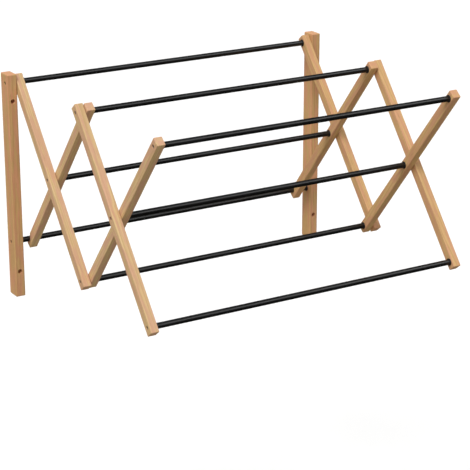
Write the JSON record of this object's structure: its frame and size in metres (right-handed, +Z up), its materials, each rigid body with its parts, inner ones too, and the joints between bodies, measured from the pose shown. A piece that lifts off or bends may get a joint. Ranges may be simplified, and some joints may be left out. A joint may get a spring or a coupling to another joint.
{
  "type": "wall mounted folding drying rack",
  "caption": "Wall mounted clothes drying rack: wooden wall posts and crossing wooden side bars joined by round black tubes, opening forward like a concertina and folding flat to the wall.",
  "frame": {"origin": "centre of the four wall screw holes, on the wall plane against the posts' backs", "axes": "+X along the tubes, +Y into the wall, +Z up; the rack opens towards -Y"},
  "size_m": [0.782, 0.6146, 0.496],
  "materials": {
    "post_wood": "oiled pine, satin",
    "bar_wood": "oiled pine, satin",
    "rod_metal": "black powder coat, satin",
    "plug_plastic": "moulded black plastic",
    "screw_steel": "zinc plated",
    "washer_nylon": "natural nylon"
  },
  "bodies": {
    "wall_frame": {"post_left": "post_wood", "post_right": "post_wood", "rod_wall_top": "rod_metal", "plugs_wall_top": "plug_plastic", "screws_wall_top": "screw_steel", "rod_wall_low": "rod_metal", "plugs_wall_low": "plug_plastic", "screws_wall_low": "screw_steel", "washers_wall_top": "washer_nylon"},
    "rear_outer": {"bar_rear_outer_left": "bar_wood", "bar_rear_outer_right": "bar_wood"},
    "rear_inner": {"bar_rear_inner_left": "bar_wood", "bar_rear_inner_right": "bar_wood", "rod_mid_top": "rod_metal", "plugs_mid_top": "plug_plastic", "screws_mid_top": "screw_steel", "rod_rear_cross": "rod_metal", "plugs_rear_cross": "plug_plastic", "screws_rear_cross": "screw_steel", "washers_mid_top": "washer_nylon", "washers_rear_cross": "washer_nylon"},
    "front_outer": {"bar_front_outer_left": "bar_wood", "bar_front_outer_right": "bar_wood", "rod_front_low": "rod_metal", "plugs_front_low": "plug_plastic", "screws_front_low": "screw_steel"},
    "front_inner": {"bar_front_inner_left": "bar_wood", "bar_front_inner_right": "bar_wood", "rod_mid_low": "rod_metal", "plugs_mid_low": "plug_plastic", "screws_mid_low": "screw_steel", "rod_front_top": "rod_metal", "plugs_front_top": "plug_plastic", "screws_front_top": "screw_steel", "rod_front_cross": "rod_metal", "plugs_front_cross": "plug_plastic", "screws_front_cross": "screw_steel", "washers_mid_low": "washer_nylon", "washers_front_cross": "washer_nylon"}
  },
  "joints": [
    {"name": "fold", "type": "hinge", "parent": "wall_frame", "child": "rear_outer", "pos_m": [0, -0.0215, 0.22797], "axis": [1, 0, 0], "range_deg": [0, 33]},
    {"name": "rear_cross_pivot", "type": "hinge", "parent": "rear_outer", "child": "rear_inner", "pos_m": [0, -0.16561, 0.05], "axis": [1, 0, 0], "range_deg": [-72, 0]},
    {"name": "mid_top_pivot", "type": "hinge", "parent": "rear_inner", "child": "front_outer", "pos_m": [0, -0.30973, 0.22797], "axis": [1, 0, 0], "range_deg": [0, 72]},
    {"name": "front_cross_pivot", "type": "hinge", "parent": "front_outer", "child": "front_inner", "pos_m": [0, -0.45384, 0.05], "axis": [1, 0, 0], "range_deg": [-72, 0]}
  ],
  "couplings": [
    {"joint": "rear_cross_pivot", "follows": "fold", "ratio": -2.1818},
    {"joint": "mid_top_pivot", "follows": "fold", "ratio": 2.1818},
    {"joint": "front_cross_pivot", "follows": "fold", "ratio": -2.1818}
  ]
}
